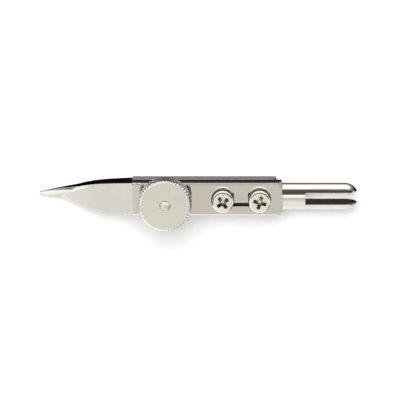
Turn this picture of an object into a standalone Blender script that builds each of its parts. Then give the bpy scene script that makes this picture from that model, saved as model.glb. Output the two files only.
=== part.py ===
"""Divot repair tool: a spike blade and a two-tine fork held in a split handle.

The handle is a sandwich of two bars, front_housing over back_plate, with one
channel between them. The blade's tang slides in the channel's spike end and is
clamped by a knurled thumb nut. The fork's shank fills the fork end and is held
by two cross-recess screws, whose heads sit over a slot in the housing.

Frame: metres, +Z up. The tool lies on its back: z = 0 is the flat underside of
back_plate. +X points to the fork, -X to the spike. The origin is under the
middle of the tool's length, on its centreline.
"""

import math

import bmesh
import bpy
from mathutils import Matrix

MM = 0.001

# ---- driving dimensions -------------------------------------------------
BODY_WIDTH = 10.0 * MM  # across, along Y
PLATE_WIDTH = 10.3 * MM  # back_plate stands a little proud of the housing
BODY_HEIGHT = 8.6 * MM  # underside of back_plate to face of front_housing
BODY_SPIKE_END = -19.5 * MM
BODY_FORK_END = 25.1 * MM
SEAM_HEIGHT = 3.7 * MM  # where the two halves of the handle meet
GAP = 0.05 * MM  # clearance between pieces that touch on the real tool

EDGE_BEVEL = 0.5 * MM
BACK_BEVEL = 0.3 * MM
END_CONE_RADIUS = 5.3 * MM  # the housing's corners are turned off to this radius
END_CONE_SLOPE = 1.3  # at its fork end: length turned, per unit of radius
BACK_PLATE_SETBACK = 1.5 * MM  # back_plate stops short of the housing's fork end
BACK_CORNER_RADIUS = 0.6 * MM

CHANNEL_WIDTH = 6.9 * MM
CHANNEL_FLOOR = 2.1 * MM
CHANNEL_ROOF = 6.5 * MM

KNOB_X = -9.8 * MM
STUD_RADIUS = 1.5 * MM
STUD_FOOT_RADIUS = 2.45 * MM
STUD_FOOT_HEIGHT = 1.0 * MM
STUD_TOP = 16.3 * MM
WASHER_RADIUS = 4.5 * MM
WASHER_THICKNESS = 0.55 * MM
KNOB_BOSS_RADIUS = 4.0 * MM
KNOB_RADIUS = 8.0 * MM
KNOB_FACE_RADIUS = 7.25 * MM
KNOB_HEAD_BASE = 11.2 * MM
KNOB_TOP = 16.4 * MM
KNOB_CHAMFER_HEIGHT = 0.6 * MM
KNOB_COUNTERSINK_RADIUS = 1.65 * MM
KNURL_COUNT = 50  # diamonds round the knob
KNURL_DEPTH = 0.32 * MM

SCREW_X = (7.4 * MM, 18.45 * MM)
SCREW_NAMES = ("left", "right")
SCREW_RECESS_TURN = (math.radians(36), math.radians(-16))
SCREW_SHANK_RADIUS = 1.95 * MM
SCREW_HEAD_RADIUS = 3.15 * MM
SCREW_HEAD_HEIGHT = 2.9 * MM
SCREW_DOME = 0.15 * MM
SCREW_EDGE_RADIUS = 0.2 * MM
SCREW_END = 0.4 * MM
RECESS_SPAN = 4.2 * MM
RECESS_WIDTH = 0.95 * MM
RECESS_DEPTH = 1.6 * MM
RECESS_FLOOR_SPAN = 0.45  # of the span at the screw's face
RECESS_FLOOR_WIDTH = 0.75  # of the width at the screw's face
LOCK_WASHER_RADIUS = 3.45 * MM
LOCK_WASHER_THICKNESS = 1.1 * MM
LOCK_WASHER_GAP = 0.5 * MM
LOCK_WASHER_GAP_TURN = math.radians(42)  # the gap looks this way from +X
FACE_SLOT_WIDTH = 4.2 * MM

FORK_RADIUS = 4.0 * MM
FORK_NOSE_START = 43.9 * MM
FORK_NOSE_LENGTH = 4.2 * MM
FORK_SLOT_WIDTH = 3.4 * MM
FORK_SLOT_START = 32.1 * MM
SHANK_END = 3.2 * MM
SHANK_BEVEL = 0.25 * MM  # keeps the shank's corners inside the round rod

BLADE_TRAVEL = 8.0 * MM
BLADE_BASE = 0.1 * MM
BLADE_TIP_RADIUS = 0.55 * MM
BLADE_EDGE_RADIUS = 0.12 * MM
BLADE_ROUNDING_START = -31 * MM  # from here to the tip the edges grow rounder
BLADE_ROUNDING_GROWTH = 20  # per metre: 0.5 mm rounder after 5 mm
BLADE_CORNER_STEPS = 5
BLADE_STEPS = 24
TANG_END = 1.6 * MM
# The blade at places along X from root to tip, joined by smooth curves:
# (x, middle of its width along Y, half-width, top height).
BLADE_PLACES = [
    (-19.55 * MM, 0.00 * MM, 4.90 * MM, 8.10 * MM),
    (-26.40 * MM, 0.00 * MM, 4.50 * MM, 6.95 * MM),
    (-30.30 * MM, 0.02 * MM, 4.10 * MM, 6.10 * MM),
    (-33.20 * MM, 0.12 * MM, 3.50 * MM, 5.35 * MM),
    (-36.20 * MM, 0.34 * MM, 2.55 * MM, 4.45 * MM),
    (-39.60 * MM, 0.58 * MM, 1.65 * MM, 3.35 * MM),
    (-41.30 * MM, 0.58 * MM, 1.28 * MM, 2.70 * MM),
    (-43.00 * MM, 0.44 * MM, 1.08 * MM, 2.25 * MM),
    (-46.50 * MM, 0.08 * MM, 0.60 * MM, 1.30 * MM),
    (-47.65 * MM, 0.03 * MM, 0.46 * MM, 1.02 * MM),
]
BLADE_ROOT = BLADE_PLACES[0][0]
BLADE_TIP = BLADE_PLACES[-1][0]

DOWEL_RADIUS = 0.4 * MM
DOWEL_SPAN_Z = (1.7 * MM, 5.7 * MM)
DOWEL_PLACES = {"spike": (-16.5 * MM, 4.2 * MM), "fork": (21.0 * MM, -4.2 * MM)}

SPRING_CENTRE_X = -15.0 * MM
SPRING_LENGTH = 5.0 * MM
SPRING_WIDTH = 4.0 * MM
SPRING_THICKNESS = 0.2 * MM
SPRING_POCKET_DEPTH = 0.55 * MM

ROUND_STEPS = 48
SMALL_ROUND_STEPS = 16
QUARTER_STEPS = 12


# ---- tools --------------------------------------------------------------
def clear_scene():
    for obj in list(bpy.data.objects):
        bpy.data.objects.remove(obj)


def material(name, colour, roughness):
    made = bpy.data.materials.new(name)
    made.use_nodes = True
    shader = made.node_tree.nodes["Principled BSDF"]
    shader.inputs["Base Color"].default_value = (*colour, 1)
    shader.inputs["Roughness"].default_value = roughness
    shader.inputs["Metallic"].default_value = 1
    made.diffuse_color = (*colour, 1)
    return made


def add_object(name, bm, mat=None, place=(0, 0)):
    """Turns a bmesh into an object with outward faces, smooth where it is round."""
    bmesh.ops.remove_doubles(bm, verts=bm.verts, dist=0.0005 * MM)
    bmesh.ops.recalc_face_normals(bm, faces=bm.faces)
    mesh = bpy.data.meshes.new(name)
    bm.to_mesh(mesh)
    bm.free()
    mesh.shade_smooth()
    mesh.set_sharp_from_angle(angle=math.radians(30))
    obj = bpy.data.objects.new(name, mesh)
    obj.location = (*place, 0)
    bpy.context.scene.collection.objects.link(obj)
    if mat:
        mesh.materials.append(mat)
    return obj


def helper(obj):
    """Marks an object as a cutter or guide, which isn't part of the tool."""
    obj.hide_render = True
    obj.display_type = "WIRE"
    return obj


def combine(target, other, operation):
    modifier = target.modifiers.new(f"{operation.lower()} {other.name}", "BOOLEAN")
    modifier.operation = operation
    modifier.object = other
    modifier.solver = "EXACT"


def cut(target, name, bm):
    combine(target, helper(add_object(name, bm)), "DIFFERENCE")


def join(target, name, bm):
    combine(target, helper(add_object(name, bm)), "UNION")


def prism(outline, low, high):
    """A solid with a flat outline in X and Y, from height low to height high."""
    bm = bmesh.new()
    base = bm.faces.new([bm.verts.new((x, y, low)) for x, y in outline])
    grown = bmesh.ops.extrude_face_region(bm, geom=[base])["geom"]
    tops = [v for v in grown if isinstance(v, bmesh.types.BMVert)]
    bmesh.ops.translate(bm, verts=tops, vec=(0, 0, high - low))
    return bm


def box(x_span, y_span, z_span):
    (x0, x1), (y0, y1) = x_span, y_span
    return prism([(x0, y0), (x1, y0), (x1, y1), (x0, y1)], *z_span)


def arc(centre, radius, start, end, steps):
    """Points on an arc in X and Y, from angle start to angle end, both included."""
    turns = [start + (end - start) * i / steps for i in range(steps + 1)]
    return [
        (centre[0] + radius * math.cos(a), centre[1] + radius * math.sin(a))
        for a in turns
    ]


def disc(centre, radius, steps=ROUND_STEPS):
    return arc(centre, radius, 0, 2 * math.pi * (1 - 1 / steps), steps - 1)


def obround(x0, x1, width):
    """A slot outline on the centreline whose round ends are centred at x0 and x1."""
    half = math.pi / 2
    right = arc((x1, 0), width / 2, -half, half, ROUND_STEPS // 4)
    left = arc((x0, 0), width / 2, half, 3 * half, ROUND_STEPS // 4)
    return right + left


def turned(profile, steps=ROUND_STEPS):
    """A solid of revolution about Z from (radius, height) points, closed on itself."""
    bm = bmesh.new()
    verts = [bm.verts.new((r, 0, z)) for r, z in profile]
    edges = [bm.edges.new(pair) for pair in zip(verts, verts[1:] + verts[:1])]
    bmesh.ops.spin(
        bm,
        geom=verts + edges,
        axis=(0, 0, 1),
        cent=(0, 0, 0),
        angle=2 * math.pi,
        steps=steps,
        use_merge=True,
    )
    bmesh.ops.remove_doubles(bm, verts=bm.verts, dist=0.0005 * MM)
    bmesh.ops.dissolve_degenerate(bm, edges=bm.edges, dist=0.0005 * MM)
    return bm


def bevel_edges(bm, chosen, width):
    edges = [e for e in bm.edges if chosen(e)]
    bmesh.ops.bevel(
        bm, geom=edges, offset=width, segments=1, affect="EDGES", clamp_overlap=True
    )
    return bm


def at_height(edge, height):
    return all(abs(v.co.z - height) < 0.001 * MM for v in edge.verts)


# ---- handle -------------------------------------------------------------
def channel_box(z_low, z_high):
    half = CHANNEL_WIDTH / 2
    over = 2 * MM
    return box(
        (BODY_SPIKE_END - over, BODY_FORK_END + over), (-half, half), (z_low, z_high)
    )


def lay_along_x(bm):
    """Turns a solid of revolution about Z onto the tool's long axis."""
    place = Matrix.Translation((0, 0, BODY_HEIGHT / 2)) @ Matrix.Rotation(math.pi / 2, 4, "Y")
    bmesh.ops.transform(bm, matrix=place, verts=bm.verts)
    return bm


def end_cone():
    """A round solid that holds the whole handle but cuts its corners at the fork end."""
    wide = 9 * MM
    over = 0.5 * MM
    profile = [
        (0, BODY_SPIKE_END - over),
        (wide, BODY_SPIKE_END - over),
        (wide, BODY_FORK_END - (wide - END_CONE_RADIUS) * END_CONE_SLOPE),
        (END_CONE_RADIUS - over / END_CONE_SLOPE, BODY_FORK_END + over),
        (0, BODY_FORK_END + over),
    ]
    return lay_along_x(turned(profile, 2 * ROUND_STEPS))


def front_housing(mat):
    half = BODY_WIDTH / 2
    bm = box((BODY_SPIKE_END, BODY_FORK_END), (-half, half), (SEAM_HEIGHT, BODY_HEIGHT))

    def face_edge(edge):
        along_x = abs(edge.verts[0].co.x - edge.verts[1].co.x) > GAP
        return at_height(edge, BODY_HEIGHT) and along_x

    housing = add_object("front_housing", bevel_edges(bm, face_edge, EDGE_BEVEL), mat)
    combine(housing, helper(add_object("housing_end_cone", end_cone())), "INTERSECT")
    over = 1 * MM
    cut(housing, "housing_channel", channel_box(SEAM_HEIGHT - over, CHANNEL_ROOF))
    slot = obround(*SCREW_X, FACE_SLOT_WIDTH)
    cut(housing, "housing_slot", prism(slot, CHANNEL_ROOF - over, BODY_HEIGHT + over))
    hole = disc((KNOB_X, 0), STUD_RADIUS + 2 * GAP)
    cut(housing, "housing_stud_hole", prism(hole, CHANNEL_ROOF - over, BODY_HEIGHT + over))
    for end, place in DOWEL_PLACES.items():
        hole = disc(place, DOWEL_RADIUS + GAP, SMALL_ROUND_STEPS)
        top = DOWEL_SPAN_Z[1] + GAP
        cut(housing, f"housing_dowel_hole_{end}", prism(hole, SEAM_HEIGHT - over, top))


def back_plate(mat):
    half = PLATE_WIDTH / 2
    end = BODY_FORK_END - BACK_PLATE_SETBACK
    radius = BACK_CORNER_RADIUS
    quarter = math.pi / 2
    outline = (
        [(BODY_SPIKE_END, -half)]
        + arc((end - radius, -half + radius), radius, -quarter, 0, 5)
        + arc((end - radius, half - radius), radius, 0, quarter, 5)
        + [(BODY_SPIKE_END, half)]
    )
    top = SEAM_HEIGHT - GAP
    bm = bevel_edges(prism(outline, 0, top), lambda e: at_height(e, 0), BACK_BEVEL)
    plate = add_object("back_plate", bm, mat)
    over = 1 * MM
    cut(plate, "plate_channel", channel_box(CHANNEL_FLOOR, SEAM_HEIGHT + over))
    hole = disc((KNOB_X, 0), STUD_RADIUS + GAP)
    cut(plate, "plate_stud_hole", prism(hole, -over, CHANNEL_FLOOR + over))
    seat = disc((KNOB_X, 0), STUD_FOOT_RADIUS + GAP)
    cut(plate, "plate_stud_seat", prism(seat, -over, STUD_FOOT_HEIGHT + 2 * GAP))
    for name, x in zip(SCREW_NAMES, SCREW_X):
        hole = disc((x, 0), SCREW_SHANK_RADIUS + GAP)
        cut(plate, f"plate_{name}_screw_hole", prism(hole, -over, CHANNEL_FLOOR + over))
    for name, place in DOWEL_PLACES.items():
        hole = disc(place, DOWEL_RADIUS + GAP, SMALL_ROUND_STEPS)
        bottom = DOWEL_SPAN_Z[0] - GAP
        cut(plate, f"plate_dowel_hole_{name}", prism(hole, bottom, SEAM_HEIGHT + over))
    side = 0.2 * MM
    pocket = box(
        (
            SPRING_CENTRE_X - SPRING_LENGTH / 2 - side,
            SPRING_CENTRE_X + SPRING_LENGTH / 2 + side,
        ),
        (-SPRING_WIDTH / 2 - side, SPRING_WIDTH / 2 + side),
        (CHANNEL_FLOOR - SPRING_POCKET_DEPTH, CHANNEL_FLOOR + over),
    )
    cut(plate, "plate_spring_pocket", pocket)


def dowel_pins(mat):
    chamfer = 0.15 * MM
    low, high = DOWEL_SPAN_Z
    profile = [
        (0, low),
        (DOWEL_RADIUS - chamfer, low),
        (DOWEL_RADIUS, low + chamfer),
        (DOWEL_RADIUS, high - chamfer),
        (DOWEL_RADIUS - chamfer, high),
        (0, high),
    ]
    for end, place in DOWEL_PLACES.items():
        add_object(f"dowel_pin_{end}_end", turned(profile, SMALL_ROUND_STEPS), mat, place)


def tang_leaf_spring(mat):
    """A bowed strip in the plate's pocket that keeps the tang from rattling."""
    steps = 10
    floor = CHANNEL_FLOOR - SPRING_POCKET_DEPTH + GAP
    rise = CHANNEL_FLOOR - SPRING_THICKNESS - floor
    lower = []
    for i in range(steps + 1):
        along = 2 * i / steps - 1
        x = SPRING_CENTRE_X + along * SPRING_LENGTH / 2
        lower.append((x, floor + rise * (1 - along**2)))
    upper = [(x, z + SPRING_THICKNESS) for x, z in reversed(lower)]
    bm = prism(lower + upper, -SPRING_WIDTH / 2, SPRING_WIDTH / 2)
    turn = Matrix.Rotation(math.pi / 2, 4, "X")
    bmesh.ops.transform(bm, matrix=turn, verts=bm.verts)
    add_object("tang_leaf_spring", bm, mat)


# ---- spike blade --------------------------------------------------------
def smooth_value(points, x):
    """Value at x of a smooth curve through (x, value) points, in falling x."""
    last = len(points) - 2
    i = next((k for k in range(last) if x >= points[k + 1][0]), last)
    (xa, a), (xb, b) = points[i], points[i + 1]
    before = points[max(i - 1, 0)]
    after = points[min(i + 2, len(points) - 1)]
    step = xb - xa
    slope_a = (b - before[1]) / (xb - before[0]) * step
    slope_b = (after[1] - a) / (after[0] - xa) * step
    t = (x - xa) / step
    return (
        (2 * t**3 - 3 * t**2 + 1) * a
        + (t**3 - 2 * t**2 + t) * slope_a
        + (3 * t**2 - 2 * t**3) * b
        + (t**3 - t**2) * slope_b
    )


def tip_shrink(x):
    """How much smaller the section is at x, so that the very tip is a dome."""
    inward = 1 - (x - BLADE_TIP) / BLADE_TIP_RADIUS
    if inward <= 0:
        return 1
    return math.sqrt(max(1 - inward**2, 0.02))


def blade_section(x):
    """The blade's cross-section at x: a box whose corners grow rounder towards
    the tip, until the section is nearly a circle."""
    side_shift, half, top = [
        smooth_value([(place[0], place[column]) for place in BLADE_PLACES], x)
        for column in (1, 2, 3)
    ]
    shrink = tip_shrink(x)
    middle = (top + BLADE_BASE) / 2
    half_height = (top - BLADE_BASE) / 2 * shrink
    half *= shrink
    past = max(0, BLADE_ROUNDING_START - x)
    radius = BLADE_EDGE_RADIUS + BLADE_ROUNDING_GROWTH * past**2
    radius = min(radius, 0.99 * half, 0.99 * half_height)
    points = []
    for quarter, (side, up) in enumerate([(1, 1), (-1, 1), (-1, -1), (1, -1)]):
        y = side_shift + side * (half - radius)
        z = middle + up * (half_height - radius)
        for i in range(BLADE_CORNER_STEPS + 1):
            angle = (quarter + i / BLADE_CORNER_STEPS) * math.pi / 2
            points.append((x, y + radius * math.cos(angle), z + radius * math.sin(angle)))
    return points


def blade_stations():
    """Places along X of the loft's sections: even ones, then close ones at the dome."""
    dome = BLADE_TIP + BLADE_TIP_RADIUS
    even = [BLADE_ROOT + (dome - BLADE_ROOT) * i / BLADE_STEPS for i in range(BLADE_STEPS)]
    turns = [i / 4 * math.pi / 2 for i in range(5)]
    return even + [dome - BLADE_TIP_RADIUS * math.sin(turn) for turn in turns]


def loft(sections):
    bm = bmesh.new()
    rings = [[bm.verts.new(p) for p in section] for section in sections]
    for ring, following in zip(rings, rings[1:]):
        for i in range(len(ring)):
            j = (i + 1) % len(ring)
            bm.faces.new((ring[i], ring[j], following[j], following[i]))
    bm.faces.new(rings[0])
    bm.faces.new(rings[-1])
    return bm


def spike_blade(mat):
    blade = add_object("spike_blade", loft([blade_section(x) for x in blade_stations()]), mat)
    half = CHANNEL_WIDTH / 2 - GAP
    tang = box(
        (BLADE_ROOT - 2 * MM, TANG_END),
        (-half, half),
        (CHANNEL_FLOOR + GAP, CHANNEL_ROOF - GAP),
    )
    join(blade, "blade_tang", tang)
    slot = obround(KNOB_X, KNOB_X + BLADE_TRAVEL, 2 * (STUD_RADIUS + 2 * GAP))
    cut(blade, "blade_tang_slot", prism(slot, 0, BODY_HEIGHT))


# ---- fork ---------------------------------------------------------------
def fork(mat):
    start = BODY_FORK_END + GAP
    nose = [
        (
            FORK_RADIUS * math.cos(i / QUARTER_STEPS * math.pi / 2),
            FORK_NOSE_START + FORK_NOSE_LENGTH * math.sin(i / QUARTER_STEPS * math.pi / 2),
        )
        for i in range(QUARTER_STEPS)
    ]
    tip = (0, FORK_NOSE_START + FORK_NOSE_LENGTH)
    rod = turned([(0, start), (FORK_RADIUS, start), *nose, tip])
    made = add_object("fork", lay_along_x(rod), mat)
    half = CHANNEL_WIDTH / 2 - GAP
    shank = box(
        (SHANK_END, start + 2 * MM),
        (-half, half),
        (CHANNEL_FLOOR + GAP, CHANNEL_ROOF - GAP),
    )

    def long_edge(edge):
        return abs(edge.verts[0].co.x - edge.verts[1].co.x) > GAP

    join(made, "fork_shank", bevel_edges(shank, long_edge, SHANK_BEVEL))
    over = 2 * MM
    gap = box(
        (FORK_SLOT_START, FORK_NOSE_START + FORK_NOSE_LENGTH + over),
        (-FORK_SLOT_WIDTH / 2, FORK_SLOT_WIDTH / 2),
        (-over, BODY_HEIGHT + over),
    )
    cut(made, "fork_slot", gap)
    for name, x in zip(SCREW_NAMES, SCREW_X):
        hole = disc((x, 0), SCREW_SHANK_RADIUS + 2 * GAP)
        cut(made, f"fork_{name}_screw_hole", prism(hole, 0, BODY_HEIGHT))


# ---- thumb nut ----------------------------------------------------------
def clamp_stud(mat):
    chamfer = 0.35 * MM
    profile = [
        (0, GAP),
        (STUD_FOOT_RADIUS, GAP),
        (STUD_FOOT_RADIUS, STUD_FOOT_HEIGHT),
        (STUD_RADIUS, STUD_FOOT_HEIGHT),
        (STUD_RADIUS, STUD_TOP - chamfer),
        (STUD_RADIUS - chamfer, STUD_TOP),
        (0, STUD_TOP),
    ]
    add_object("clamp_stud", turned(profile), mat, (KNOB_X, 0))


def swivel_washer(mat):
    low = BODY_HEIGHT + GAP
    high = low + WASHER_THICKNESS
    inner = STUD_RADIUS + 3 * GAP
    chamfer = 0.15 * MM
    profile = [
        (inner, low),
        (WASHER_RADIUS, low),
        (WASHER_RADIUS, high - chamfer),
        (WASHER_RADIUS - chamfer, high),
        (inner, high),
    ]
    add_object("swivel_washer", turned(profile), mat, (KNOB_X, 0))


def knurled_band(bm, low, high):
    """A band of small pyramids: a grid whose points stand high and low in turn."""
    columns = 2 * KNURL_COUNT
    pitch = 2 * math.pi * KNOB_RADIUS / columns
    rows = 2 * round((high - low) / pitch / 2)
    rings = []
    for j in range(rows + 1):
        z = low + (high - low) * j / rows
        ring = []
        for i in range(columns):
            sunk = (i + j) % 2 == 1
            at_rim = j in (0, rows)
            radius = KNOB_RADIUS - (KNURL_DEPTH if sunk or at_rim else 0)
            angle = 2 * math.pi * i / columns
            ring.append(
                bm.verts.new((radius * math.cos(angle), radius * math.sin(angle), z))
            )
        rings.append(ring)
    for j in range(rows):
        for i in range(columns):
            k = (i + 1) % columns
            a, b = rings[j][i], rings[j][k]
            c, d = rings[j + 1][k], rings[j + 1][i]
            if (i + j) % 2 == 0:
                bm.faces.new((a, b, c))
                bm.faces.new((a, c, d))
            else:
                bm.faces.new((a, b, d))
                bm.faces.new((b, c, d))
    return rings[0], rings[-1]


def ring_at(bm, radius, height, columns):
    ring = []
    for i in range(columns):
        angle = 2 * math.pi * i / columns
        ring.append(
            bm.verts.new((radius * math.cos(angle), radius * math.sin(angle), height))
        )
    return ring


def bridge(bm, lower, upper):
    for i in range(len(lower)):
        j = (i + 1) % len(lower)
        bm.faces.new((lower[i], lower[j], upper[j], upper[i]))


def thumb_nut(mat):
    """Knurled nut on a boss, with a threaded hole that is countersunk at its face."""
    bm = bmesh.new()
    columns = 2 * KNURL_COUNT
    boss_low = BODY_HEIGHT + WASHER_THICKNESS + 2 * GAP
    bore = STUD_RADIUS + GAP
    sink = KNOB_COUNTERSINK_RADIUS
    band_low, band_high = knurled_band(
        bm, KNOB_HEAD_BASE + KNOB_CHAMFER_HEIGHT, KNOB_TOP - KNOB_CHAMFER_HEIGHT
    )
    up = [
        band_high,
        ring_at(bm, KNOB_FACE_RADIUS, KNOB_TOP, columns),
        ring_at(bm, sink, KNOB_TOP, columns),
        ring_at(bm, bore, KNOB_TOP - (sink - bore), columns),
        ring_at(bm, bore, boss_low, columns),
        ring_at(bm, KNOB_BOSS_RADIUS, boss_low, columns),
        ring_at(bm, KNOB_BOSS_RADIUS, KNOB_HEAD_BASE, columns),
        ring_at(bm, KNOB_FACE_RADIUS, KNOB_HEAD_BASE, columns),
        band_low,
    ]
    for lower, upper in zip(up, up[1:]):
        bridge(bm, lower, upper)
    add_object("thumb_nut", bm, mat, (KNOB_X, 0))


# ---- screws -------------------------------------------------------------
def recess_arm(x, top, turn):
    """One tapered bar of the cross recess."""
    bm = box(
        (-RECESS_SPAN / 2, RECESS_SPAN / 2),
        (-RECESS_WIDTH / 2, RECESS_WIDTH / 2),
        (-RECESS_DEPTH, 0),
    )
    for v in bm.verts:
        if v.co.z < -RECESS_DEPTH / 2:
            v.co.x *= RECESS_FLOOR_SPAN
            v.co.y *= RECESS_FLOOR_WIDTH
    above = [v for v in bm.verts if v.co.z > -RECESS_DEPTH / 2]
    bmesh.ops.translate(bm, verts=above, vec=(0, 0, SCREW_DOME))
    place = Matrix.Translation((x, 0, top)) @ Matrix.Rotation(turn, 4, "Z")
    bmesh.ops.transform(bm, matrix=place, verts=bm.verts)
    return bm


def screw(name, x, turn, mat):
    base = BODY_HEIGHT + LOCK_WASHER_THICKNESS + 2 * GAP
    top = base + SCREW_HEAD_HEIGHT
    edge = SCREW_EDGE_RADIUS
    shoulder = top - SCREW_DOME
    rounding = [
        (
            SCREW_HEAD_RADIUS - edge * (1 - math.cos(i / 3 * math.pi / 2)),
            shoulder - edge * (1 - math.sin(i / 3 * math.pi / 2)),
        )
        for i in range(4)
    ]
    flat = SCREW_HEAD_RADIUS - edge
    dome = [
        (flat * (1 - i / 4), shoulder + SCREW_DOME * (1 - (1 - i / 4) ** 2))
        for i in range(1, 5)
    ]
    chamfer = 0.4 * MM
    profile = [
        (0, SCREW_END),
        (SCREW_SHANK_RADIUS - chamfer, SCREW_END),
        (SCREW_SHANK_RADIUS, SCREW_END + chamfer),
        (SCREW_SHANK_RADIUS, base),
        (SCREW_HEAD_RADIUS, base),
        *rounding,
        *dome,
    ]
    made = add_object(f"{name}_screw", turned(profile), mat, (x, 0))
    for label, extra in (("long", 0), ("cross", math.pi / 2)):
        cut(made, f"{name}_screw_recess_{label}", recess_arm(x, top, turn + extra))


def lock_washer(name, x, mat):
    """A split ring, with its gap towards the fork and the +Y side."""
    opening = LOCK_WASHER_GAP / LOCK_WASHER_RADIUS
    inner = SCREW_SHANK_RADIUS + 3 * GAP
    start = LOCK_WASHER_GAP_TURN + opening / 2
    end = LOCK_WASHER_GAP_TURN + 2 * math.pi - opening / 2
    outline = arc((x, 0), LOCK_WASHER_RADIUS, start, end, ROUND_STEPS)
    outline += arc((x, 0), inner, end, start, ROUND_STEPS)
    low = BODY_HEIGHT + GAP
    bm = prism(outline, low, low + LOCK_WASHER_THICKNESS)
    add_object(f"{name}_lock_washer", bm, mat)


# ---- assembly -----------------------------------------------------------
def main():
    clear_scene()
    nickel = material("polished nickel", (0.80, 0.77, 0.72), 0.12)
    knurled = material("knurled nickel", (0.78, 0.76, 0.71), 0.18)
    steel = material("bright steel", (0.66, 0.65, 0.63), 0.3)
    bronze = material("spring bronze", (0.72, 0.49, 0.28), 0.35)
    front_housing(nickel)
    back_plate(nickel)
    dowel_pins(steel)
    tang_leaf_spring(bronze)
    spike_blade(nickel)
    fork(nickel)
    clamp_stud(steel)
    swivel_washer(steel)
    thumb_nut(knurled)
    for name, x, turn in zip(SCREW_NAMES, SCREW_X, SCREW_RECESS_TURN):
        screw(name, x, turn, nickel)
        lock_washer(name, x, steel)


main()
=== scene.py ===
"""Looks of the divot repair tool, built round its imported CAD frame.

The shapes are in millimetres until piece() scales them to metres. The handle lies
along X on the floor, with the spike towards -X, the fork towards +X and the thumb
nut and screw heads on top.
"""

import math

import bmesh
import bpy
from mathutils import Matrix, Vector


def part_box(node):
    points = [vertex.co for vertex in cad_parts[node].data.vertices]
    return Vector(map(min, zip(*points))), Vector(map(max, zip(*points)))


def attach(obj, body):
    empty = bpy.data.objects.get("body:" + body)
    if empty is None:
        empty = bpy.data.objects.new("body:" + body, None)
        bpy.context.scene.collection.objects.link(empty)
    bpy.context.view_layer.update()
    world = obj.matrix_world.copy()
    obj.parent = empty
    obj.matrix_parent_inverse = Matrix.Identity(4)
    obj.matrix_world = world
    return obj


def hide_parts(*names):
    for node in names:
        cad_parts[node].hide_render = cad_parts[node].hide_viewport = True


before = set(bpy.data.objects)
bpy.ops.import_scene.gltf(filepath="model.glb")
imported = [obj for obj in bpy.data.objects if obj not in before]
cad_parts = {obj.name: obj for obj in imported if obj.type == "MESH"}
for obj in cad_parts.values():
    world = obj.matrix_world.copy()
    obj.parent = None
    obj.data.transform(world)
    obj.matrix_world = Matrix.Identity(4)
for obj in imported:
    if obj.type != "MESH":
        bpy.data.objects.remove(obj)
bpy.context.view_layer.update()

MM = 0.001
TURN = 2 * math.pi


# ---- where the CAD puts things --------------------------------------------
def mm_box(node):
    low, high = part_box(node)
    return low / MM, high / MM


HOUSING_LOW, HOUSING_HIGH = mm_box("front_housing")
PLATE_LOW, PLATE_HIGH = mm_box("back_plate")
BLADE_LOW, BLADE_HIGH = mm_box("spike_blade")
FORK_LOW, FORK_HIGH = mm_box("fork")
KNOB_LOW, KNOB_HIGH = mm_box("thumb_nut")
STUD_LOW, STUD_HIGH = mm_box("clamp_stud")
WASHER_LOW, WASHER_HIGH = mm_box("swivel_washer")

FACE = HOUSING_HIGH.z
SEAM = HOUSING_LOW.z
HALF_WIDTH = HOUSING_HIGH.y
KNOB_X = (KNOB_LOW.x + KNOB_HIGH.x) / 2
SCREW_X = {
    side: sum(corner.x for corner in mm_box(f"{side}_screw")) / 2 for side in ("left", "right")
}
CHANNEL_HALF = 3.45
CHANNEL_LOW, CHANNEL_HIGH = 2.1, 6.5
STUD_HOLE = 1.6
FACE_SLOT_HALF = 2.1


# ---- mesh tools -----------------------------------------------------------
def arc(centre, radius, start, end, steps):
    """Points on an arc, from angle start to angle end, both included."""
    turns = [start + (end - start) * i / steps for i in range(steps + 1)]
    return [(centre[0] + radius * math.cos(a), centre[1] + radius * math.sin(a)) for a in turns]


def disc(centre, radius, steps=96):
    return arc(centre, radius, 0, TURN * (1 - 1 / steps), steps - 1)


def obround(x0, x1, half):
    quarter = math.pi / 2
    return arc((x1, 0), half, -quarter, quarter, 32) + arc((x0, 0), half, quarter, 3 * quarter, 32)


def rounded(corners, steps=4):
    """A closed outline through (a, b, radius) corners, each turned on its own radius."""
    points = []
    for i, (a, b, radius) in enumerate(corners):
        corner = Vector((a, b))
        if radius <= 0:
            points.append((a, b))
            continue
        to_last = (Vector(corners[i - 1][:2]) - corner).normalized()
        to_next = (Vector(corners[(i + 1) % len(corners)][:2]) - corner).normalized()
        half = to_last.angle(to_next) / 2
        sweep = math.pi - 2 * half
        centre = corner + (to_last + to_next).normalized() * (radius / math.sin(half))
        start = corner + to_last * (radius / math.tan(half)) - centre
        end = corner + to_next * (radius / math.tan(half)) - centre
        for k in range(steps + 1):
            t = k / steps
            spoke = start * math.sin((1 - t) * sweep) + end * math.sin(t * sweep)
            points.append(tuple(centre + spoke / math.sin(sweep)))
    return points


def loft(rings, caps=(True, True)):
    bm = bmesh.new()
    rows = [[bm.verts.new(p) for p in ring] for ring in rings]
    for row, following in zip(rows, rows[1:]):
        for i in range(len(row)):
            j = (i + 1) % len(row)
            bm.faces.new((row[i], row[j], following[j], following[i]))
    for row, capped in zip((rows[0], rows[-1]), caps):
        if capped:
            bm.faces.new(row)
    return bm


def stack(levels):
    """A solid through flat outlines, given as (outline, height) from the lowest up."""
    return loft([[(x, y, z) for x, y in outline] for outline, z in levels])


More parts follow.
